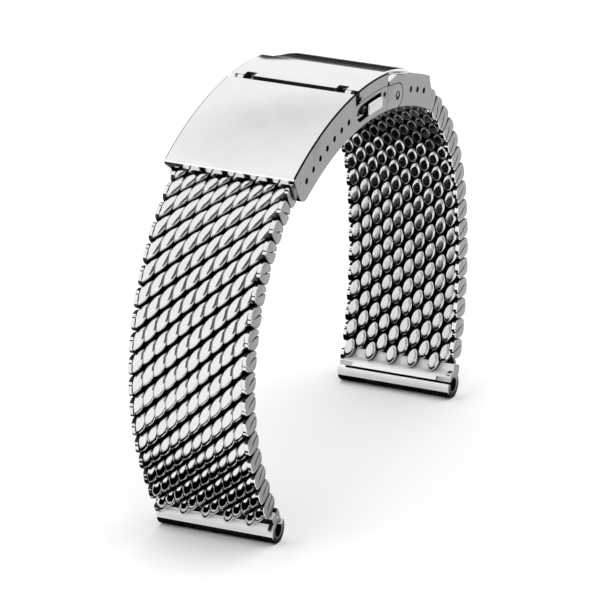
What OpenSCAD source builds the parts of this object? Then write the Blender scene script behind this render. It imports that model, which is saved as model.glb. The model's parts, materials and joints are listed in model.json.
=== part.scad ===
/* [Mesh] */
// Width of the mesh, for a watch with lugs 20 mm apart, mm
mesh_w = 19.6; // [18.8:0.1:20.4]
// Thickness of the mesh, mm
mesh_t = 3.9; // [3.8:0.05:4]
// Width of the flattened wire, mm
wire_w = 1; // [0.95:0.05:1.1]
// Thickness of the flattened wire, mm
wire_t = 1.05; // [0.9:0.05:1.05]

/* [Lug tubes] */
// Outer diameter of the tube at the watch, mm
lug_tube_d = 4.3; // [4:0.1:4.5]
// Bore for the watch's own spring bar, mm
lug_bore_d = 2.2; // [1.8:0.1:2.4]
// Width of the open seam along the rolled tube, mm
seam_w = 0.4; // [0.2:0.05:0.5]

/* [Clasp] */
// Thickness of the cover's top plate, mm
cover_t = 1.2; // [1:0.1:1.4]
// Thickness of the clasp's side walls, mm
wall_t = 0.9; // [0.8:0.05:1.1]
// Diameter of the adjustment holes, mm
hole_d = 1; // [0.96:0.02:1.1]
// How far the buttons stand out from the side walls, mm
button_out = 0.45; // [0.3:0.05:0.6]
// Thickness of the two folding blades, mm
blade_t = 0.65; // [0.5:0.05:0.7]
// Radial clearance of the turning pins, mm
fit = 0.04; // [0.02:0.01:0.06]

/* [Hidden] */
columns = 10;
units = 18;
pitch = 3.36;
spacing = pitch / 2;
end_t = 0.9;
tip_w = 0.65;
leg = 0.25;
col = (mesh_w - end_t) / columns;
half_t = mesh_t / 2;
edge = mesh_w / 2;
u = mesh_t / 3.9;

lug_gap = 2.62;
strap_gap = 2.27;
tube_w = mesh_w + 0.2;
flange_t = 1.4;
strap_tube_r = 1.5;
strap_tube_w = mesh_w - 0.8;
barrel_r = 0.75;
tip_r = hole_d / 2 - 0.05;

front_lean = 121.72;
front_low = 2.825;
front_turn = 6.017;
rear_lean = 73.5;
rear_low = 3.161;
rear_turn = 6.024;

hole_step = 2.82;
hole_a0 = -25.2;
front_bar_a = hole_a0 + hole_step;
rear_bar_a = 19.4;
clasp_r = 57.4;
clasp_h = 6;
low_r = clasp_r - clasp_h;
k = clasp_h / 6;
bar_r = up(2.6);
wi = edge + 0.2;
wo = wi + wall_t;
front_a = -28.6;
wall_end_a = 6.9;
flap_a = -3.57;
lip_r = 1.38;
flap_r = clasp_r - lip_r - 0.02;
cover_end_a = -5.34;
flap_t = 0.8;
wall_cut_r = up(3.95);
middle_r = low_r + blade_t + 0.1;
h0 = [up(2.8), 5.8];
h1 = [up(0.7), -16.5];
h2 = [up(1.9), 11.3];
pin_r = 0.5;
blade_pin_r = 0.45;
flap_pin_r = 0.35;
housing_pin_r = 0.6;
middle_w = wi - 2.4;
lower_w = edge - 0.8;

function up(v) = low_r + v * k;
function dir(a) = [0, cos(a), sin(a)];
function on(r, a) = r * [sin(a), cos(a)];
function front_head(i) = front_lean - front_low * min(i, 3) - front_turn * max(0, i - 3);
function rear_head(i) = rear_lean + rear_low * min(i, 8) + rear_turn * max(0, i - 8);
function front_low_end(i) =
  i == 0 ? lug_gap * dir(front_head(0)) : front_low_end(i - 1) + pitch * dir(front_head(i - 1));
function clasp_point(r, a) = centre + [0, r * sin(a), r * cos(a)];
front_bar = front_low_end(units) + strap_gap * dir(front_head(units - 1));
centre = front_bar - [0, bar_r * sin(front_bar_a), bar_r * cos(front_bar_a)];
rear_bar = clasp_point(bar_r, rear_bar_a);
function rear_top_end(i) =
  i == units - 1 ? rear_bar - strap_gap * dir(rear_head(i)) : rear_top_end(i + 1) - pitch * dir(rear_head(i + 1));
rear_lug = rear_top_end(0) - (pitch + lug_gap) * dir(rear_head(0));

function two(i) = i < 10 ? str("0", i) : str(i);
front_names = [for (i = [0 : units - 1]) str("mesh_front_", two(i))];
rear_names = [for (i = [0 : units - 1]) str("mesh_rear_", two(i))];

module side(x0, x1) translate([x0, 0, 0]) rotate([90, 0, 90]) linear_extrude(x1 - x0) children();
module both(x0, x1) {
  side(x0, x1) children();
  side(-x1, -x0) children();
}
module sector(a0, a1) polygon([[0, 0], on(120, a0), on(120, (a0 + a1) / 2), on(120, a1)]);
module arc(r0, r1, a0, a1) intersection() {
  difference() {
    circle(r1, $fn = 360);
    circle(r0, $fn = 360);
  }
  sector(a0, a1);
}
module disc(at, r) translate(on(at[0], at[1])) circle(r, $fn = 48);
module rod(r, w) rotate([0, 90, 0]) cylinder(r = r, h = w, center = true, $fn = 48);

module bar_side() {
  o = spacing + wire_t / 2;
  i = spacing - wire_t / 2;
  n = half_t - wire_t;
  polygon([[-o, -leg], [-o, 0.4 * u], [-o + 1.2 * u, half_t], [o - 1.2 * u, half_t], [o, 0.4 * u], [o, -leg],
    [i, -leg], [i - 0.3 * u, n], [-i + 0.3 * u, n], [-i, -leg]]);
}
module bar_plan() {
  o = spacing + wire_t / 2 + 0.1 * u;
  m = wire_w / 2;
  e = tip_w / 2;
  x = col / 2;
  c = [[-x, -o, e], [-x * 0.4, -0.8 * spacing, m], [x * 0.4, 0.8 * spacing, m], [x, o, e]];
  polygon(concat([for (p = c) [p[0] - p[2], p[1]]],
    [for (k = [3 : -1 : 0]) [c[k][0] + c[k][2], c[k][1]]]));
}
module bar() intersection() {
  side(-col, col) bar_side();
  translate([0, 0, -1]) linear_extrude(half_t + 2) bar_plan();
}
module lobe_face() polygon(u * [[-0.36, 1.5], [-0.1, 1.9], [0.75, 1.9], [1.5, 0.95],
  [1.5, -0.95], [0.95, -1.75], [0.62, -1.6], [0.1, 0]]);
module lobe() {
  side(edge - end_t / 2, edge) lobe_face();
  side(edge - end_t, edge) intersection() {
    lobe_face();
    translate([-2 * u, 0.02]) square([4 * u, 3 * u]);
  }
}
module coil_a() {
  for (j = [0 : columns - 1]) translate([(j - (columns - 1) / 2) * col, 0, 0])
    if (j % 2 == 0) bar(); else rotate([180, 0, 0]) bar();
  rotate([180, 0, 0]) translate([0, spacing / 2, 0]) lobe();
  rotate([0, 0, 180]) translate([0, spacing / 2, 0]) lobe();
}
module unit() color([0.78, 0.78, 0.78]) {
  translate([0, -spacing / 2, 0]) coil_a();
  translate([0, spacing / 2, 0]) rotate([180, 0, 0]) coil_a();
}
module mesh_front(i)
  translate(front_low_end(i) + pitch / 2 * dir(front_head(i))) rotate([front_head(i), 0, 0]) unit();
module mesh_rear(i)
  translate(rear_top_end(i) - pitch / 2 * dir(rear_head(i))) rotate([rear_head(i) + 180, 0, 0]) unit();

module lug_tube() color([0.82, 0.82, 0.82]) difference() {
  union() {
    rod(lug_tube_d / 2, tube_w);
    translate([-tube_w / 2, lug_tube_d / 2 - 0.75, -flange_t / 2])
      cube([tube_w, lug_gap + 1.55 * u - lug_tube_d / 2, flange_t]);
  }
  rod(lug_bore_d / 2, tube_w + 2);
  rotate([-80, 0, 0]) translate([-tube_w, lug_bore_d / 2 - 0.3, -seam_w / 2])
    cube([2 * tube_w, 3, seam_w]);
  for (s = [0, 1]) mirror([s, 0, 0]) translate([tube_w / 2 - 2.4 * u, 0.2 * u, -lug_tube_d])
    cube([3 * u, u, lug_tube_d - lug_bore_d / 2 - 0.35 * u]);
}
module lug_tube_front() rotate([front_head(0), 0, 0]) lug_tube();
module lug_tube_rear() translate(rear_lug) rotate([rear_head(0), 0, 0]) mirror([0, 0, 1]) lug_tube();

module strap_tube() color([0.82, 0.82, 0.82]) difference() {
  union() {
    rod(strap_tube_r, strap_tube_w);
    translate([-strap_tube_w / 2, strap_tube_r - 0.5, -flange_t / 2])
      cube([strap_tube_w, strap_gap + 1.1 * u - strap_tube_r, flange_t]);
  }
  rod(barrel_r + fit, strap_tube_w + 2);
}
module strap_tube_front() translate(front_bar) rotate([front_head(units - 1) + 180, 0, 0]) strap_tube();
module strap_tube_rear() translate(rear_bar) rotate([rear_head(units - 1) + 180, 0, 0]) strap_tube();

module spring_bar() color([0.7, 0.7, 0.7]) difference() {
  rod(barrel_r, strap_tube_w + 0.3);
  rod(tip_r + fit, strap_tube_w + 2);
}
module bar_tip() color([0.75, 0.75, 0.75]) translate([wi - 3, 0, 0]) rotate([0, 90, 0])
  cylinder(r = tip_r, h = 3 + wall_t - 0.25, $fn = 48);
module spring_bar_front() translate(front_bar) spring_bar();
module spring_bar_rear() translate(rear_bar) spring_bar();
module tip_front_right() translate(front_bar) bar_tip();
module tip_front_left() translate(front_bar) mirror([1, 0, 0]) bar_tip();
module tip_rear_right() translate(rear_bar) bar_tip();
module tip_rear_left() translate(rear_bar) mirror([1, 0, 0]) bar_tip();

module slot_shape() {
  arc(up(0.9), up(3.45), -3.95, 4.4);
  polygon([on(up(0.9), -3.9), on(up(1.3), -4.75), on(up(1.85), -5.15), on(up(2.5), -5.15),
    on(up(3.05), -4.75), on(up(3.45), -3.9)]);
}
module cover_wall() difference() {
  arc(low_r, clasp_r, front_a, wall_end_a);
  arc(wall_cut_r, clasp_r + 2, cover_end_a, 12);
  polygon([on(up(-1.4), -30), on(up(2.4), front_a - 0.5), on(up(2), front_a), on(up(0.9), front_a + 0.45),
    on(up(0.25), front_a + 1.2), on(low_r - 0.02, front_a + 2.4), on(up(-1.4), -24)]);
  for (n = [0 : 6]) disc([bar_r, hole_a0 + n * hole_step], hole_d / 2);
  slot_shape();
  disc(h0, pin_r + fit);
}
module cover() color([0.85, 0.85, 0.85]) translate(centre) {
  side(-wo, wo) arc(clasp_r - cover_t, clasp_r, front_a, cover_end_a);
  both(wi, wo) cover_wall();
  both(edge - 2.7, edge - 1.3) difference() {
    union() {
      arc(up(4), up(5.1), -8, flap_a);
      disc([flap_r, flap_a], flap_pin_r + 0.27 * k);
    }
    disc([flap_r, flap_a], flap_pin_r + 0.01);
  }
}
module lip() {
  intersection() {
    disc([flap_r, flap_a], lip_r);
    arc(flap_r - 0.3 * k, clasp_r, -8, flap_a + 0.5);
  }
  disc([flap_r, flap_a], flap_pin_r + 0.5 * k);
}
module safety_flap() color([0.85, 0.85, 0.85]) translate(centre) difference() {
  union() {
    side(-wo, wo) arc(clasp_r - flap_t, clasp_r, flap_a - 0.3, wall_end_a);
    side(-edge + 0.2, edge - 0.2) lip();
    both(wi, wo) arc(wall_cut_r + 0.1, clasp_r, flap_a - 0.3, wall_end_a);
    side(-edge + 0.6, edge - 0.6) arc(up(4.9), up(5.6), 6.6, 18.8);
  }
  side(-20, 20) disc([flap_r, flap_a], flap_pin_r + fit);
  both(edge - 2.85, edge - 1.15) arc(up(2.6), up(7.6), -7, -2.6);
}
module flap_hinge_pin() color([0.7, 0.7, 0.7]) translate(clasp_point(flap_r, flap_a))
  rod(flap_pin_r, mesh_w - 1);

module lower_blade() color([0.72, 0.72, 0.72]) translate(centre) difference() {
  union() {
    side(-lower_w, lower_w) arc(low_r, low_r + blade_t, h1[1] + 0.3, h2[1]);
    side(-wo, wo) arc(low_r, low_r + blade_t, wall_end_a + 0.15, h2[1]);
    both(wi, wo) {
      arc(low_r, up(3.8), wall_end_a + 0.15, h2[1]);
      disc(h2, h2[0] - low_r - 0.02);
    }
    both(lower_w - 0.2, wi - 0.1) arc(low_r, low_r + blade_t, -4.7, -3.1);
    both(wi - 0.45, wi - 0.1) arc(low_r, up(2.1), -4.7, -3.1);
    both(middle_w - 3.5, lower_w) disc(h1, blade_pin_r + 0.45 * k);
  }
  side(-20, 20) disc(h1, blade_pin_r + 0.01);
  side(-20, 20) disc(h2, housing_pin_r + 0.01);
  side(-middle_w + 3.6, middle_w - 3.6) disc(h1, blade_pin_r + 0.6 * k);
}
module middle_blade() color([0.76, 0.76, 0.76]) translate(centre) difference() {
  union() {
    side(-middle_w, middle_w) arc(middle_r, middle_r + blade_t, h1[1] + 1.3, h0[1] + 0.9);
    side(-middle_w, middle_w) disc(h0, pin_r + 0.45 * k);
    side(-middle_w, middle_w) arc(middle_r, h0[0], h0[1] - 0.35, h0[1] + 0.9);
    side(-middle_w + 3.7, middle_w - 3.7) disc(h1, blade_pin_r + 0.45 * k);
    side(-middle_w + 3.7, middle_w - 3.7) arc(middle_r, middle_r + blade_t, h1[1], h1[1] + 1.5);
  }
  side(-20, 20) disc(h1, blade_pin_r + fit);
  side(-20, 20) disc(h0, pin_r + fit);
}
module blade_hinge_pin() color([0.7, 0.7, 0.7]) translate(clasp_point(h1[0], h1[1]))
  rod(blade_pin_r, 2 * lower_w);
module cover_hinge_pin() color([0.7, 0.7, 0.7]) translate(clasp_point(h0[0], h0[1])) rod(pin_r, 2 * wo - 0.1);
module rear_housing_pin() color([0.7, 0.7, 0.7]) translate(clasp_point(h2[0], h2[1]))
  rod(housing_pin_r, 2 * wo - 0.1);

module housing_wall() difference() {
  intersection() {
    arc(low_r, up(5.1), 7.5, 30);
    polygon(clasp_r / 57.4 * [[0, 40], [22.2, 40], [23.6, 46.5], [23.3, 49.5], [22.8, 51],
      [22.2, 60], [0, 60]]);
  }
  arc(low_r - 1, up(3.92), 5, h2[1]);
  disc(h2, h2[0] - low_r + 0.12);
  polygon([on(up(5.2), 7), on(up(4.3), 7), on(up(4.7), 8.2), on(up(5.12), 9.6)]);
  for (n = [-1 : 1]) disc([bar_r, rear_bar_a + n * hole_step], hole_d / 2);
}
module rear_housing() color([0.85, 0.85, 0.85]) translate(centre) difference() {
  union() {
    both(wi - 0.05, wo) housing_wall();
    both(wi - 1, wi - 0.1) {
      disc(h2, housing_pin_r + 0.52 * k);
      arc(up(1), up(2.9), h2[1], 16.2);
    }
    both(wi - 1, wo) arc(up(1), up(2.9), 14.2, 16.2);
    side(-wi, wi) arc(up(2.8), up(4.4), 14.2, 16.6);
  }
  side(-20, 20) disc(h2, housing_pin_r + fit);
}

module button() {
  side(wi - 0.7, wo + button_out) difference() {
    arc(up(1.05), up(2.95), -1.2, 4.2);
    polygon([on(up(0.9), -1.4), on(up(0.9), -0.8), on(up(1.6), -1.4)]);
    polygon([on(up(3.1), -1.4), on(up(3.1), -0.8), on(up(2.4), -1.4)]);
    polygon([on(up(0.9), 4.4), on(up(0.9), 3.8), on(up(1.6), 4.4)]);
    polygon([on(up(3.1), 4.4), on(up(3.1), 3.8), on(up(2.4), 4.4)]);
  }
  side(wi - 1.3, wi - 0.6) arc(up(1.1), up(2.2), -4.9, 2);
}
module button_right() color([0.8, 0.8, 0.8]) translate(centre) button();
module button_left() color([0.8, 0.8, 0.8]) translate(centre) mirror([1, 0, 0]) button();
module button_spring() color([0.6, 0.6, 0.6]) translate(centre) {
  side(-wi + 2.25, wi - 2.25) arc(up(3.8), up(3.97), -7.9, -5.6);
  both(wi - 2.5, wi - 2.25) {
    arc(up(1.55), up(3), -7.9, -2.2);
    arc(up(2.9), up(3.97), -7.9, -5.6);
  }
}

for (i = [0 : units - 1]) {
  mesh_front(i);
  mesh_rear(i);
}
lug_tube_front();
lug_tube_rear();
strap_tube_front();
strap_tube_rear();
spring_bar_front();
spring_bar_rear();
tip_front_left();
tip_front_right();
tip_rear_left();
tip_rear_right();
cover();
safety_flap();
flap_hinge_pin();
lower_blade();
middle_blade();
blade_hinge_pin();
cover_hinge_pin();
rear_housing();
rear_housing_pin();
button_left();
button_right();
button_spring();
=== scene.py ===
import bpy, bmesh, math, json
from mathutils import Vector, Matrix


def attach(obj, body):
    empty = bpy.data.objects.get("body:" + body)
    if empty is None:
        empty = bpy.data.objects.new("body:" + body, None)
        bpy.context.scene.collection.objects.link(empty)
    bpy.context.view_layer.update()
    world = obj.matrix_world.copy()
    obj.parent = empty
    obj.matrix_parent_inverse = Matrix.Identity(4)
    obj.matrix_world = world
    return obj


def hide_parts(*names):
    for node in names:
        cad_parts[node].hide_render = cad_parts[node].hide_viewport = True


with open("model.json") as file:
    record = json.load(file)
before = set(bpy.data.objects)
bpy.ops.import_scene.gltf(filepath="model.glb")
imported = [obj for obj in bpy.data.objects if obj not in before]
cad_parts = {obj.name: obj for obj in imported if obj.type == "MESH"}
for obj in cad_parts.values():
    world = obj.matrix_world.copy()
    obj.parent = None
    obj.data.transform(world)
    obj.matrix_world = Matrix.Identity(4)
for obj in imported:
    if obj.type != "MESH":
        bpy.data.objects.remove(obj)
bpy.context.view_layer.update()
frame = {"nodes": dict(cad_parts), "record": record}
MM = 0.001
scene = bpy.context.scene

# ---------------------------------------------------------------- the band's own numbers (as in part.scad)
# Lengths are in mm and angles in degrees, unless a line says otherwise.
MESH_W, MESH_T = 19.6, 3.9              # width and thickness of the mesh
PITCH, COLUMNS, UNITS = 3.36, 10, 18    # length of a unit, half-turns across it, units in a strand
END_T = 0.9                             # thickness of a cut wire end
SPACING = PITCH / 2                     # from one coil to the next
COLUMN_STEP = (MESH_W - END_T) / COLUMNS
HALF_T, EDGE = MESH_T / 2, MESH_W / 2
LUG_GAP, STRAP_GAP = 2.62, 2.27         # from a tube's axis to the mesh, at the lugs and at the clasp
LUG_R = 2.15                            # outer radius of a lug tube
REAR_LUG_Y = 66.48                      # axis of the rear lug tube; the front one is at 0
# first heading, turn a unit, number of units with that turn, turn a unit after them
FRONT_BEND = (121.72, -2.825, 3, -6.017)
REAR_BEND = (73.5, 3.161, 8, 6.024)

HOLE_STEP, FIRST_HOLE = 2.82, -25.2     # angle between two adjustment holes, and of the cover's first one
BAR_R = 54                              # radius of the spring bars and the holes around the clasp's centre
FRONT_BAR_A, REAR_BAR_A = FIRST_HOLE + HOLE_STEP, 19.4
CLASP_R = 57.4                          # outer radius of the clasp
WI, WO = EDGE + 0.2, EDGE + 1.1         # inner and outer face of its side walls


def heading(bend, i):
    """The direction of unit i in the YZ plane, as an angle above +Y."""
    first, turn, count, later_turn = bend
    return first + turn * min(i, count) + later_turn * max(0, i - count)


def along(angle):
    t = math.radians(angle)
    return Vector((0, math.cos(t), math.sin(t)))


def around(r, angle):
    """From the clasp's centre to a point at radius r, with the angle from +Z towards +Y."""
    t = math.radians(angle)
    return Vector((0, r * math.sin(t), r * math.cos(t)))


def front_places():
    """Centre and heading of each front unit from the lug tube up, and the axis of the front spring bar."""
    p = along(heading(FRONT_BEND, 0)) * LUG_GAP
    places = []
    for i in range(UNITS):
        head = heading(FRONT_BEND, i)
        step = along(head) * PITCH
        places.append((p + step / 2, head))
        p = p + step
    return places, p + along(head) * STRAP_GAP


FRONT, FRONT_BAR = front_places()
CENTRE = FRONT_BAR - around(BAR_R, FRONT_BAR_A)


def clasp_point(r, angle):
    return CENTRE + around(r, angle)


def rear_places():
    """Centre and heading of each rear unit; they are found from the rear spring bar down."""
    p = clasp_point(BAR_R, REAR_BAR_A) - along(heading(REAR_BEND, UNITS - 1)) * STRAP_GAP
    places = []
    for i in reversed(range(UNITS)):
        head = heading(REAR_BEND, i)
        step = along(head) * PITCH
        places.insert(0, (p - step / 2, head + 180))
        p = p - step
    return places


REAR = rear_places()

# ---------------------------------------------------------------- camera
AZIMUTH, ELEVATION = math.radians(25.0), math.radians(20.5)
DISTANCE = 0.9                          # metres from the target
TARGET = Vector((0, 32, 27.85))
PX_PER_MM = 6.4                         # scale of the picture at the target
PICTURE_PX, SENSOR_MM = 600, 36
SHIFT_PX = (-8.5, -17.4)

cam_data = bpy.data.cameras.new("camera")
cam = bpy.data.objects.new("camera", cam_data)
scene.collection.objects.link(cam)
scene.camera = cam
back = Vector((math.sin(AZIMUTH) * math.cos(ELEVATION), -math.cos(AZIMUTH) * math.cos(ELEVATION),
               math.sin(ELEVATION)))
cam.location = TARGET * MM + back * DISTANCE
cam.rotation_euler = back.to_track_quat("Z", "Y").to_euler()
cam_data.sensor_width = SENSOR_MM
cam_data.lens = PX_PER_MM * DISTANCE * 1000 * SENSOR_MM / PICTURE_PX
cam_data.shift_x = SHIFT_PX[0] / PICTURE_PX
cam_data.shift_y = SHIFT_PX[1] / PICTURE_PX
cam_data.clip_start = 0.05
cam_data.clip_end = 20

scene.view_settings.view_transform = "Standard"

# ---------------------------------------------------------------- materials
WIDE_GRAIN = 260                        # scale of the broad noise that varies the grey
FINE_DETAIL, WIDE_DETAIL = 4, 2
AO_SAMPLES = 8
PAINTED_SHADE_IN_CORNERS, PAINTED_SHADE_BETWEEN_WIRES = 0.02, 0.03  # share of the colour that is left where shade is painted: in corners and between the wires
BUMP_HEIGHT = 0.0001                    # metres


def nodes_of(mat):
    mat.use_nodes = True
    return mat.node_tree, mat.node_tree.nodes["Principled BSDF"]


def add_node(tree, kind, values=None, operation=None):
    """A new shader node with these values on its own sockets."""
    node = tree.nodes.new("ShaderNode" + kind)
    if operation:
        node.operation = operation
    for socket, value in (values or {}).items():
        node.inputs[socket].default_value = value
    return node


def map_range(tree, source, to_min, to_max, from_min=0.0, from_max=1.0):
    node = add_node(tree, "MapRange", {"From Min": from_min, "From Max": from_max,
                                       "To Min": to_min, "To Max": to_max})
    tree.links.new(source, node.inputs["Value"])
    return node.outputs["Result"]


def product(tree, a, b):
    node = add_node(tree, "Math", operation="MULTIPLY")
    tree.links.new(a, node.inputs[0])
    tree.links.new(b, node.inputs[1])
    return node.outputs["Value"]


def steel(name, colour, rough, spread, grain, stretch=(1, 1, 1), bump=0.02, colour_spread=0.04,
          shade=0.0006, dark=(0.25, 0.8), depth=None, metallic=1.0, specular=0.5):
    """Steel with a grain: colour and rough vary by their spreads, the grain is stretched and bumped.

    It has painted shade: it's dark where the ambient occlusion over the distance shade (metres) is below
    dark[0], and full at dark[1]. With depth, it also has painted shade between the wires: it goes from dark
    to full as |z| in the object's own frame goes from depth[0] to depth[1] mm.
    """
    mat = bpy.data.materials.new(name)
    tree, bsdf = nodes_of(mat)
    bsdf.inputs["Metallic"].default_value = metallic
    bsdf.inputs["Specular IOR Level"].default_value = specular
    coord = add_node(tree, "TexCoord")
    mapping = add_node(tree, "Mapping", {"Scale": stretch})
    fine = add_node(tree, "TexNoise", {"Scale": grain, "Detail": FINE_DETAIL})
    wide = add_node(tree, "TexNoise", {"Scale": WIDE_GRAIN, "Detail": WIDE_DETAIL})
    tree.links.new(coord.outputs["Object"], mapping.inputs["Vector"])
    tree.links.new(mapping.outputs["Vector"], fine.inputs["Vector"])
    tree.links.new(coord.outputs["Object"], wide.inputs["Vector"])
    tree.links.new(map_range(tree, fine.outputs["Fac"], rough - spread, rough + spread),
                   bsdf.inputs["Roughness"])

    # painted shade in corners, from the ambient occlusion
    ao = add_node(tree, "AmbientOcclusion", {"Distance": shade})
    ao.samples = AO_SAMPLES
    grey = product(tree,
                   map_range(tree, wide.outputs["Fac"], colour - colour_spread, colour + colour_spread),
                   map_range(tree, ao.outputs["AO"], PAINTED_SHADE_IN_CORNERS, 1.0, *dark))
    # painted shade between the wires, from |z| in the object's own frame
    if depth:
        xyz = add_node(tree, "SeparateXYZ")
        height = add_node(tree, "Math", operation="ABSOLUTE")
        tree.links.new(coord.outputs["Object"], xyz.inputs["Vector"])
        tree.links.new(xyz.outputs["Z"], height.inputs[0])
        grey = product(tree, grey, map_range(tree, height.outputs["Value"], PAINTED_SHADE_BETWEEN_WIRES, 1.0,
                                             depth[0] * MM, depth[1] * MM))
    rgb = add_node(tree, "CombineColor")
    for channel in ("Red", "Green", "Blue"):
        tree.links.new(grey, rgb.inputs[channel])
    tree.links.new(rgb.outputs["Color"], bsdf.inputs["Base Color"])

    relief = add_node(tree, "Bump", {"Strength": bump, "Distance": BUMP_HEIGHT})
    tree.links.new(fine.outputs["Fac"], relief.inputs["Height"])
    tree.links.new(relief.outputs["Normal"], bsdf.inputs["Normal"])
    return mat


# depth gives the wire painted shade between the wires
WIRE = steel("wire_polished", colour=0.84, rough=0.08, spread=0.04, grain=2500, stretch=(1, 4, 4), bump=0.04,
             depth=(1.0, 1.56))
INNER = steel("wire_inner_face", colour=0.74, rough=0.20, spread=0.05, grain=2500, stretch=(1, 4, 4), bump=0.03,
              depth=(1.42, 1.72))
# painted shade: a dark copy of the inner steel, for the inner face of the units near the clasp
INNER_PAINTED_SHADE = steel("wire_inner_painted_shade_near_clasp", colour=0.15, rough=0.22, spread=0.05, grain=2500, stretch=(1, 4, 4),
                  bump=0.03, depth=(1.42, 1.72))
# the cut wire ends: a rougher face, and a darker grey that is painted shade on these side-facing ends
CUT = steel("wire_cut_ends", colour=0.29, rough=0.36, spread=0.07, grain=3500, bump=0.10, colour_spread=0.03)
CORE = steel("wire_in_shadow", colour=0.04, rough=0.5, spread=0.1, grain=2500, bump=0.1, colour_spread=0.02)
POLISH = steel("clasp_polished", colour=0.86, rough=0.10, spread=0.03, grain=900, stretch=(0.2, 1, 1),
               shade=0.001, dark=(0.4, 0.92))
# steel of the faces that look sideways: the satin grain and roughness are a finish, its darker grey is painted
# shade
SIDE = steel("clasp_side_satin_painted_shade", colour=0.28, rough=0.38, spread=0.06, grain=2200, stretch=(1, 0.15, 0.15),
             bump=0.06, colour_spread=0.02, shade=0.0008, dark=(0.3, 0.8))
# painted highlight: a near-white, half-metallic steel that corners hardly darken, for the cover's front lip and
# the tubes' round faces
LIP_PAINTED_HIGHLIGHT = steel("cover_front_edge_painted_highlight", colour=0.90, rough=0.45, spread=0.05, grain=1800, stretch=(0.3, 1, 1),
            bump=0.05, colour_spread=0.02, dark=(0.0, 0.12), metallic=0.3)
FACE = steel("button_face", colour=0.60, rough=0.30, spread=0.05, grain=1800, stretch=(1, 0.3, 0.3),
             bump=0.05, colour_spread=0.03)
# painted shade: a near-black steel that isn't metallic, for the holes, the slot, the seam, the lip's lower
# faces, a line on the rounded top corners and the tubes' bores and undersides
PAINTED_SHADE_BLACK = steel("clasp_painted_shade", colour=0.005, rough=0.6, spread=0.1, grain=1500, bump=0.05, colour_spread=0.01,
            metallic=0.0, specular=0.05)
# steel of the undersides that face inward: satin grain, and a darker grey that is painted shade
UNDER = steel("clasp_underside_satin_painted_shade", colour=0.24, rough=0.30, spread=0.06, grain=2200, stretch=(0.1, 1, 1),
              bump=0.08, colour_spread=0.02)
# the flap's rear tongue: steel darker than the polished flap, painted shade
TONGUE = steel("flap_tongue_painted_shade", colour=0.52, rough=0.13, spread=0.04, grain=2200, stretch=(0.1, 1, 1),
               bump=0.04, colour_spread=0.02)
TUBE = steel("tube_polished", colour=0.82, rough=0.18, spread=0.05, grain=1500, stretch=(0.05, 1, 1), bump=0.04)
SATIN = steel("inner_satin", colour=0.38, rough=0.36, spread=0.08, grain=3000, stretch=(1, 0.08, 0.08),
              bump=0.12, shade=0.001, dark=(0.35, 0.9))


# ---------------------------------------------------------------- help with meshes and objects
def bridge(bm, loops):
    """Quads between each loop of vertices and the next."""
    faces = []
    for a, b in zip(loops, loops[1:]):
        n = len(a)
        for k in range(n):
            faces.append(bm.faces.new((a[k], a[(k + 1) % n], b[(k + 1) % n], b[k])))
    return faces


def mesh_from(bm, name, *materials):
    """A mesh made from bm, which is freed."""
    me = bpy.data.meshes.new(name)
    bm.to_mesh(me)
    bm.free()
    for mat in materials:
        me.materials.append(mat)
    return me


def add_object(name, data):
    ob = bpy.data.objects.new(name, data)
    scene.collection.objects.link(ob)
    return ob


# ---------------------------------------------------------------- one mesh unit: two flattened wire coils
ON_WIRE, ON_CUT, ON_CORE, ON_INNER = range(4)   # indices of the unit's materials
FIRST_TOP_UNIT = 12                     # from here up to the clasp the inner face has painted shade: a much darker steel
UNIT_SHARP_A = math.radians(38)

DOME_POINTS = 28
DOME_LEVELS = (0.2, 0.4, 0.55, 0.66, 0.75, 0.83, 0.9, 0.95, 0.985, 1.0)
# power of the profile, power of the tips, half length, half breadth, lean in radians
OUTER_DOME = (2.6, 0.86, 2.70, 1.07, math.radians(24.3))
INNER_DOME = (5.0, 0.6, 1.78, 0.98, math.radians(13))

# the cut wire end seen at the band's edge: one half of the oval, with its S-line
CUT_END = ((-0.55, 1.5), (-0.52, 1.72), (-0.36, 1.86), (0.0, 1.90), (0.62, 1.88), (1.06, 1.72), (1.38, 1.40),
           (1.56, 0.92), (1.62, 0.3), (1.61, -0.4), (1.54, -0.94), (1.38, -1.34), (1.16, -1.62),
           (0.92, -1.74), (0.72, -1.70), (0.60, -1.55), (0.48, -1.1), (0.34, -0.68), (0.18, -0.24),
           (0.04, 0.0), (-0.12, 0.27), (-0.27, 0.7), (-0.42, 1.15))
CUT_END_DEPTH = 0.62                    # how far it reaches in from the edge
CUT_BEVEL, CUT_INSET, INSET_FROM = 0.06, 0.115, 0.3
CUT_SHADE = 0.55                        # walls whose normal has more |y| than this are in shadow

# box that stands for the crossing wires inside a coil: its edge is this far from the mesh's edge
CORE_IN, CORE_HALF_Y, CORE_OFF_Y, CORE_HALF_Z = 0.7, SPACING / 2 - 0.02, 0.04, 0.5
BOX_FACES = ((0, 1, 3, 2), (4, 6, 7, 5), (0, 4, 5, 1), (2, 3, 7, 6), (0, 2, 6, 4), (1, 5, 7, 3))


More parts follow.
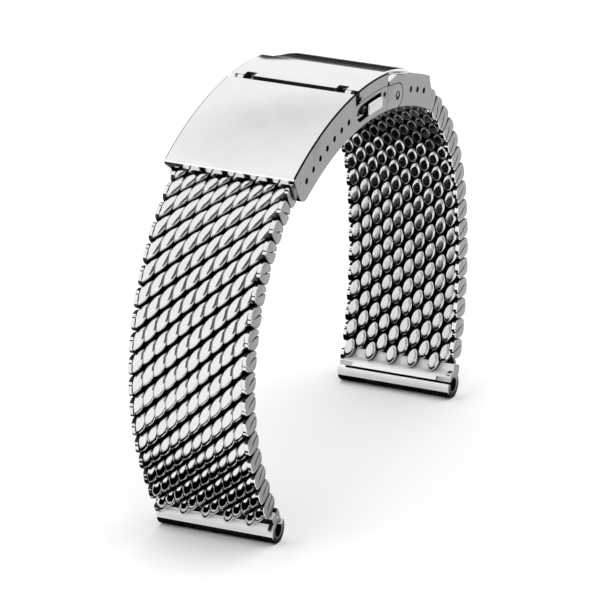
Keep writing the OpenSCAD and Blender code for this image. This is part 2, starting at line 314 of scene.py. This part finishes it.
def add_dome(bm, cx, sign, inner):
    """One half-turn of the wire, flattened on top: a leaf-shaped dome that dives at both ends."""
    power, tip, half_l, half_b, lean = INNER_DOME if inner else OUTER_DOME
    n = DOME_POINTS
    rings = []
    for rho in DOME_LEVELS:
        z = HALF_T * (1 - rho ** power) ** (1 / power)
        ring = []
        for k in range(n):
            t = 2 * math.pi * k / n
            u = math.cos(t)
            v = math.copysign((1 - u * u) ** tip, math.sin(t)) if abs(math.sin(t)) > 1e-6 else 0.0
            lengthwise, across = rho * half_l * u, rho * half_b * v
            x = lengthwise * math.sin(lean) + across * math.cos(lean)
            y = lengthwise * math.cos(lean) - across * math.sin(lean)
            ring.append(bm.verts.new((cx + x, y * sign, z * sign)))
        rings.append(ring)
    peak = bm.verts.new((cx, 0, HALF_T * sign))
    foot = bm.verts.new((cx, 0, 0))
    faces = []
    for k in range(n):
        faces.append(bm.faces.new((peak, rings[0][k], rings[0][(k + 1) % n])))
        faces.append(bm.faces.new((foot, rings[-1][(k + 1) % n], rings[-1][k])))
        for a, b in zip(rings, rings[1:]):
            faces.append(bm.faces.new((a[k], b[k], b[(k + 1) % n], a[(k + 1) % n])))
    bmesh.ops.recalc_face_normals(bm, faces=faces)
    for f in faces:
        f.smooth = True
        f.material_index = ON_INNER if inner else ON_WIRE


def add_cut_end(bm, side):
    """The cut end at one edge of the band, with a small bevel round its face."""
    cy = sum(y for y, z in CUT_END) / len(CUT_END)
    cz = sum(z for y, z in CUT_END) / len(CUT_END)
    loops = []
    for x, inset in ((EDGE - CUT_END_DEPTH, 0.0), (EDGE - CUT_BEVEL, 0.0), (EDGE, CUT_INSET)):
        loop = []
        for y, z in CUT_END:
            v = Vector((y - cy, z - cz))
            v = v * (1 - inset / max(v.length, INSET_FROM))
            loop.append(bm.verts.new((side * x, -(v.x + cy + SPACING / 2), -side * (v.y + cz))))
        loops.append(loop)
    walls = bridge(bm, loops)
    ends = [bm.faces.new(loops[0]), bm.faces.new(loops[-1])]
    bmesh.ops.recalc_face_normals(bm, faces=walls + ends)
    for f in walls:
        f.material_index = ON_CORE if abs(f.normal.y) > CUT_SHADE else ON_WIRE
        f.smooth = True
    for f in ends:
        f.material_index = ON_CUT


def add_core(bm, flip):
    """The crossing wires inside, always in shadow; neighbouring cores don't touch."""
    box = [bm.verts.new((sx * (EDGE - CORE_IN), sy * CORE_HALF_Y + (CORE_OFF_Y if flip else -CORE_OFF_Y),
                         sz * CORE_HALF_Z))
           for sx in (-1, 1) for sy in (-1, 1) for sz in (-1, 1)]
    for corners in BOX_FACES:
        bm.faces.new([box[k] for k in corners]).material_index = ON_CORE


def build_unit():
    """Two coils: the second one is turned over."""
    unit = bmesh.new()
    for flip in (False, True):
        coil = bmesh.new()
        for j in range(COLUMNS):
            front = j % 2 == 0
            add_dome(coil, (j - (COLUMNS - 1) / 2) * COLUMN_STEP, 1 if front else -1, front == flip)
        for side in (1, -1):
            add_cut_end(coil, side)
        add_core(coil, flip)
        turn = Matrix.Rotation(math.pi * flip, 4, "X")
        shift = Matrix.Translation((0, SPACING * (flip - 0.5), 0))
        coil.transform(shift @ turn)
        coil_mesh = mesh_from(coil, "coil")
        unit.from_mesh(coil_mesh)
        bpy.data.meshes.remove(coil_mesh)
    unit.transform(Matrix.Scale(MM, 4))
    me = mesh_from(unit, "mesh_unit", WIRE, CUT, CORE, INNER)
    me.set_sharp_from_angle(angle=UNIT_SHARP_A)
    return me


UNIT = build_unit()
# from FIRST_TOP_UNIT up, the units use the copy whose inner face has painted shade
UNIT_PAINTED_SHADE = UNIT.copy()
UNIT_PAINTED_SHADE.materials[ON_INNER] = INNER_PAINTED_SHADE
for name, places in (("front", FRONT), ("rear", REAR)):
    for i, (c, head) in enumerate(places):
        ob = add_object(f"coils_{name}_{i:02d}", UNIT_PAINTED_SHADE if i >= FIRST_TOP_UNIT else UNIT)
        ob.matrix_world = Matrix.Translation(c * MM) @ Matrix.Rotation(math.radians(head), 4, "X")
        bpy.context.view_layer.update()
        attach(ob, f"{name}_{i:02d}")
        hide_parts(f"mesh_{name}_{i:02d}")

# ---------------------------------------------------------------- the other nodes: softened edges and materials
BODY = {node: body for body, nodes in frame["record"]["behaviour"]["bodies"].items() for node in nodes}

# indices of a softened node's materials: OWN is the material that it is given
OWN, ON_SIDE, ON_PAINTED_SHADE, ON_FACE, ON_PAINTED_HIGHLIGHT, ON_UNDER, ON_TONGUE = range(7)

# |x| of a normal: over SIDE_N or, at a corner, CORNER_N on a side face; under ACROSS_N on a face across the band
SIDE_N, CORNER_N, ACROSS_N = 0.8, 0.9, 0.3
WALL_X = (WI - 0.05, WO - 0.02)         # the thickness of a side wall without its outer face
SIDE_X = WI + 0.3                       # beyond it are the outer faces of the side walls
HOLES = ([(BAR_R, FIRST_HOLE + HOLE_STEP * k) for k in range(7)]
         + [(BAR_R, REAR_BAR_A + HOLE_STEP * k) for k in (-1, 0, 1)])
HOLE_REACH = 0.62                       # just over a hole's radius
LUG_BORE_REACH = 1.2                    # just over the radius of a lug tube's bore
LUG_UP, LUG_SHADE = (0.32, 0.947), -0.6  # painted shade darkens the tubes where they look down along this direction (y, z)
SLOT_R, SLOT_A = (52.2, 54.95), (-5.4, 4.6)     # the button's slot in the cover's side wall
TOP_CORNER_X, TOP_CORNER_R = WO - 0.3, CLASP_R - 0.4    # the rounded corner of cover and flap, which gets a line of painted shade ...
TOP_CORNER_N = (0.25, 0.97)             # ... and |x| of its normals
FRONT_EDGE_A = -28.3                    # the cover's front edge
LIP_A, LIP_T = -28.0, 1.45              # the lip: the cover's faces before this angle, this thick
LIP_TOP, LIP_FRONT = 0.95, 0.3          # how far a face of the lip looks outward: polished, painted highlight or painted shade
COVER_UNDER_X, COVER_UNDER_R = WI + 0.05, CLASP_R - 0.4
FLAP_UNDER_R = CLASP_R - 0.5
SEAM_A, SEAM_HALF_W = -3.95, 7.3        # front edge of the safety flap, at the seam; the flap's faces before it get painted shade
TONGUE_A = 8.2                          # where the flap's rear tongue begins


def polar(p):
    """Radius and angle of a point (mm) around the clasp's centre."""
    d = p - CENTRE
    return math.hypot(d.y, d.z), math.degrees(math.atan2(d.y, d.z))


def tube_zone(node, c, n, flat_side):
    # tubes: painted shade in the bore and where they look down, painted highlight on the rest of the round face,
    # side steel on the flat ends
    if node.startswith("lug") and not flat_side:
        y = c.y if node == "lug_tube_front" else c.y - REAR_LUG_Y
        if math.hypot(y, c.z) < LUG_BORE_REACH or n.y * LUG_UP[0] + n.z * LUG_UP[1] < LUG_SHADE:
            return ON_PAINTED_SHADE
    return ON_SIDE if flat_side else ON_PAINTED_HIGHLIGHT


def zone(node, c, n):
    """Index of the material of a face of a softened node, with centre c (mm) and normal n."""
    d, x = c - CENTRE, abs(c.x)
    r, a = polar(c)
    flat_side = abs(n.x) > SIDE_N
    if "tube" in node:
        return tube_zone(node, c, n, flat_side)
    if WALL_X[0] < x < WALL_X[1] and not flat_side:     # the holes and the slot: painted shade
        if any((clasp_point(*hole) - Vector((0, c.y, c.z))).length < HOLE_REACH for hole in HOLES):
            return ON_PAINTED_SHADE
        if node == "cover" and SLOT_R[0] < r < SLOT_R[1] and SLOT_A[0] < a < SLOT_A[1]:
            return ON_PAINTED_SHADE
    if node in ("cover", "safety_flap") and x > TOP_CORNER_X and r > TOP_CORNER_R:
        if TOP_CORNER_N[0] < abs(n.x) < TOP_CORNER_N[1]:
            return ON_PAINTED_SHADE
    if node.startswith("button"):
        return ON_FACE if flat_side and x > WO else OWN
    if node == "cover" and a < LIP_A and r > CLASP_R - LIP_T and abs(n.x) < ACROSS_N:
        out = d.normalized().dot(n)
        return OWN if out > LIP_TOP else ON_PAINTED_HIGHLIGHT if out > LIP_FRONT else ON_PAINTED_SHADE
    # the undersides of the cover and the flap that face inward get painted shade
    if node == "cover" and x < COVER_UNDER_X and r < COVER_UNDER_R and a > FRONT_EDGE_A:
        return ON_UNDER
    if node == "safety_flap":
        if a < SEAM_A and x < SEAM_HALF_W:
            return ON_PAINTED_SHADE
        if r < FLAP_UNDER_R and x < WI and n.dot(d) < 0:
            return ON_UNDER
        # the rear tongue gets painted shade
        if a > TONGUE_A and not flat_side:
            return ON_TONGUE
    # the outer side faces get the side steel with its painted shade
    if node in ("cover", "safety_flap", "rear_housing", "lower_blade") and flat_side and x > SIDE_X:
        return ON_SIDE
    return OWN


LIP_EDGE_R, SIDE_EDGE_R, SIDE_EDGE_X = CLASP_R - 0.05, CLASP_R - 0.3, WO - 0.05
BUTTON_EDGE_X = WO + 0.3


def rounded(node, e):
    """Whether an edge of a CAD node is one of the outer corners that are rounded."""
    c = (e.verts[0].co + e.verts[1].co) / 2 / MM
    least, most = sorted(abs(f.normal.x) for f in e.link_faces)
    side_corner = most > CORNER_N and least < ACROSS_N
    if node in ("cover", "safety_flap", "rear_housing"):
        r, a = polar(c)
        if node == "cover" and most < ACROSS_N and c.y < CENTRE.y:
            return r > LIP_EDGE_R and a < FRONT_EDGE_A
        return r > SIDE_EDGE_R and side_corner and abs(c.x) > SIDE_EDGE_X
    if node.startswith("button"):
        return abs(c.x) > BUTTON_EDGE_X
    return side_corner


WELD = 2e-7                             # metres
FLAT_A, CORNER_A, SHARP_A = math.radians(1.0), math.radians(32), math.radians(30)
COVER_SIDE_WEIGHT = 0.55                # the cover's side corners are rounded less than its front lip


def soften(node, width, mat, segments=2):
    """A copy of a CAD node with small rounded edges, which stands for it."""
    bm = bmesh.new()
    bm.from_mesh(frame["nodes"][node].data)
    bmesh.ops.remove_doubles(bm, verts=bm.verts, dist=WELD)
    bmesh.ops.dissolve_limit(bm, angle_limit=FLAT_A, verts=bm.verts, edges=bm.edges)
    bmesh.ops.recalc_face_normals(bm, faces=bm.faces)
    weight = bm.edges.layers.float.new("bevel_weight_edge")
    for e in bm.edges:
        if len(e.link_faces) == 2 and e.calc_face_angle(0) > CORNER_A and rounded(node, e):
            front_lip = max(abs(f.normal.x) for f in e.link_faces) < ACROSS_N
            e[weight] = COVER_SIDE_WEIGHT if node == "cover" and not front_lip else 1.0
    ob = add_object("soft_" + node, mesh_from(bm, "soft_" + node))
    mod = ob.modifiers.new("bevel", "BEVEL")
    mod.width = width * MM
    mod.segments = segments
    mod.limit_method = "WEIGHT"
    mod.use_clamp_overlap = False
    mod.harden_normals = False
    dg = bpy.context.evaluated_depsgraph_get()
    dg.update()
    me = bpy.data.meshes.new_from_object(ob.evaluated_get(dg))
    ob.modifiers.clear()
    ob.data = me
    me.materials.clear()
    for m in (mat, SIDE, PAINTED_SHADE_BLACK, FACE, LIP_PAINTED_HIGHLIGHT, UNDER, TONGUE):
        me.materials.append(m)
    for f in me.polygons:
        f.use_smooth = True
        f.material_index = zone(node, f.center / MM, f.normal)
    me.set_sharp_from_angle(angle=SHARP_A)
    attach(ob, BODY[node])
    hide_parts(node)


RING_POINTS = 36
RING_FOOT, RING_SHOULDER, RING_TOP = WO - 0.02, WO + 0.010, WO + 0.014
RING_CHAMFER = 0.03
SHIFT_Y = 0.7                           # part of the hole's shift that also goes along y


def pin_ring(name, body, place, r_out, r_in, shift, side):
    """A ring of painted shade around a pin's end in the clasp's side wall; its hole is shifted, so it's wider
    below.
    """
    c = clasp_point(*place)
    bm = bmesh.new()
    rings = []
    for x, radius, off in ((RING_FOOT, r_out, 0), (RING_SHOULDER, r_out, 0), (RING_TOP, r_out - RING_CHAMFER, 0),
                           (RING_TOP, r_in, shift), (RING_FOOT, r_in, shift)):
        ring = []
        for k in range(RING_POINTS):
            t = 2 * math.pi * k / RING_POINTS
            ring.append(bm.verts.new((side * x * MM, (c.y + radius * math.cos(t) + off * SHIFT_Y) * MM,
                                      (c.z + radius * math.sin(t) + off) * MM)))
        rings.append(ring)
    bridge(bm, rings + rings[:1])
    bmesh.ops.recalc_face_normals(bm, faces=bm.faces)
    ob = add_object(name, mesh_from(bm, name, PAINTED_SHADE_BLACK))
    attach(ob, body)


for side, tag in ((1, "right"), (-1, "left")):
    pin_ring("pin_ring_housing_" + tag, BODY["rear_housing_pin"], (53.3, 11.3),
             r_out=0.72, r_in=0.50, shift=0.12, side=side)
    pin_ring("pin_ring_cover_" + tag, BODY["cover_hinge_pin"], (54.2, 5.8),
             r_out=0.30, r_in=0.02, shift=0.0, side=side)
for node, width in (("cover", 0.40), ("safety_flap", 0.22), ("rear_housing", 0.30)):
    soften(node, width, POLISH)
for node in ("button_left", "button_right"):
    soften(node, 0.22, POLISH, segments=3)
for node in ("lug_tube_front", "lug_tube_rear", "strap_tube_front", "strap_tube_rear"):
    soften(node, 0.10, TUBE)
for node in ("lower_blade", "middle_blade"):
    soften(node, 0.07, SATIN)
# the remaining CAD nodes get the side steel with its painted shade; the button's spring gets the dark steel of
# painted shadow
for node, ob in frame["nodes"].items():
    if not node.startswith("mesh_"):
        ob.data.materials.clear()
        ob.data.materials.append(CORE if node == "button_spring" else SIDE)

# ---------------------------------------------------------------- floor and world, in metres
FLOOR_Z = -LUG_R * MM                   # the underside of the lug tubes
FLOOR_DROP = 0.00002                    # the floor lies this far below them
FLOOR_HALF, FLOOR_GREY, FLOOR_ROUGH = 3.0, 0.93, 0.9

bm = bmesh.new()
bmesh.ops.create_grid(bm, x_segments=8, y_segments=8, size=FLOOR_HALF)
floor_mat = bpy.data.materials.new("floor")
bsdf = nodes_of(floor_mat)[1]
bsdf.inputs["Base Color"].default_value = (FLOOR_GREY, FLOOR_GREY, FLOOR_GREY, 1)
bsdf.inputs["Roughness"].default_value = FLOOR_ROUGH
floor = add_object("floor", mesh_from(bm, "floor", floor_mat))
floor.location = (0, 0, FLOOR_Z - FLOOR_DROP)

world = bpy.data.worlds.new("world")
scene.world = world
world.use_nodes = True
background = world.node_tree.nodes["Background"]
background.inputs["Color"].default_value = (1, 1, 1, 1)
background.inputs["Strength"].default_value = 1.0

# ---------------------------------------------------------------- panels that the steel mirrors, in metres
CARD_CELLS = 8


def card(name, corners, inner, outer, centre=(0, 0, 0), r0=0.03, r1=0.1):
    """A panel that only the metal sees: its grey goes from inner at r0 to outer at r1 from centre."""
    a, b, c, d = [Vector(p) for p in corners]
    bm = bmesh.new()
    grid = []
    for j in range(CARD_CELLS + 1):
        v = j / CARD_CELLS
        row = []
        for i in range(CARD_CELLS + 1):
            u = i / CARD_CELLS
            row.append(bm.verts.new((a * (1 - u) + b * u) * (1 - v) + (d * (1 - u) + c * u) * v))
        grid.append(row)
    for low, high in zip(grid, grid[1:]):
        for i in range(CARD_CELLS):
            bm.faces.new((low[i], low[i + 1], high[i + 1], high[i]))

    mat = bpy.data.materials.new(name)
    mat.use_nodes = True
    tree = mat.node_tree
    tree.nodes.clear()
    coord = add_node(tree, "TexCoord")
    distance = add_node(tree, "VectorMath", {1: centre}, operation="DISTANCE")
    emission = add_node(tree, "Emission")
    surface = add_node(tree, "OutputMaterial")
    tree.links.new(coord.outputs["Object"], distance.inputs[0])
    tree.links.new(map_range(tree, distance.outputs["Value"], inner, outer, r0, r1),
                   emission.inputs["Strength"])
    tree.links.new(emission.outputs["Emission"], surface.inputs["Surface"])

    ob = add_object(name, mesh_from(bm, name, mat))
    ob.visible_camera = False
    ob.visible_diffuse = False
    ob.visible_shadow = False
    ob.visible_transmission = False
    ob.visible_volume_scatter = False


F = FLOOR_Z + 0.0001                    # height of the cards that lie on the floor
card("card_floor_near", [(-0.25, -0.0045, F), (0.012, -0.0045, F), (0.012, -0.003, F), (-0.25, -0.003, F)],
     0.6, 0.6)
card("card_floor_front", [(-0.25, -0.25, F), (0.12, -0.25, F), (0.12, -0.0045, F), (-0.25, -0.0045, F)],
     0.0, 1.0, centre=(0.05, 0.45, F), r0=0.4680, r1=0.4730)
card("card_floor_under", [(-0.013, -0.003, F), (0.0125, -0.003, F), (0.0125, 0.075, F), (-0.07, 0.075, F)],
     0.0, 0.0)
card("card_sky", [(-0.7, 0.1, 0.5), (0.1, 0.1, 0.5), (0.1, 0.9, 0.5), (-0.7, 0.9, 0.5)],
     0.80, 1.0, centre=(-0.20, 0.36, 0.5), r0=0.02, r1=0.3)
card("card_behind", [(-0.15, 0.3, F), (-0.07, 0.3, F), (-0.07, 0.3, 0.074), (-0.15, 0.3, 0.074)],
     0.01, 0.01)
card("card_right_front", [(0.06, -0.12, F), (0.06, 0.015, F), (0.06, 0.015, 0.11), (0.06, -0.12, 0.11)],
     0.10, 0.14, centre=(0.06, -0.02, 0.03), r0=0.02, r1=0.1)

# ---------------------------------------------------------------- lights, in metres
AIM = Vector((0, 0.033, 0.03))


def area_light(name, place, size, power):
    """A soft lamp towards the band; the steel doesn't mirror it."""
    light = bpy.data.lights.new(name, "AREA")
    light.shape = "RECTANGLE"
    light.size, light.size_y = size
    light.energy = power
    ob = add_object(name, light)
    ob.location = place
    ob.rotation_euler = (AIM - Vector(place)).to_track_quat("-Z", "Y").to_euler()
    ob.visible_glossy = False


area_light("key", (-0.25, -0.35, 0.55), (0.35, 0.35), 0.7)
area_light("top", (0.05, 0.05, 0.6), (0.5, 0.4), 0.9)
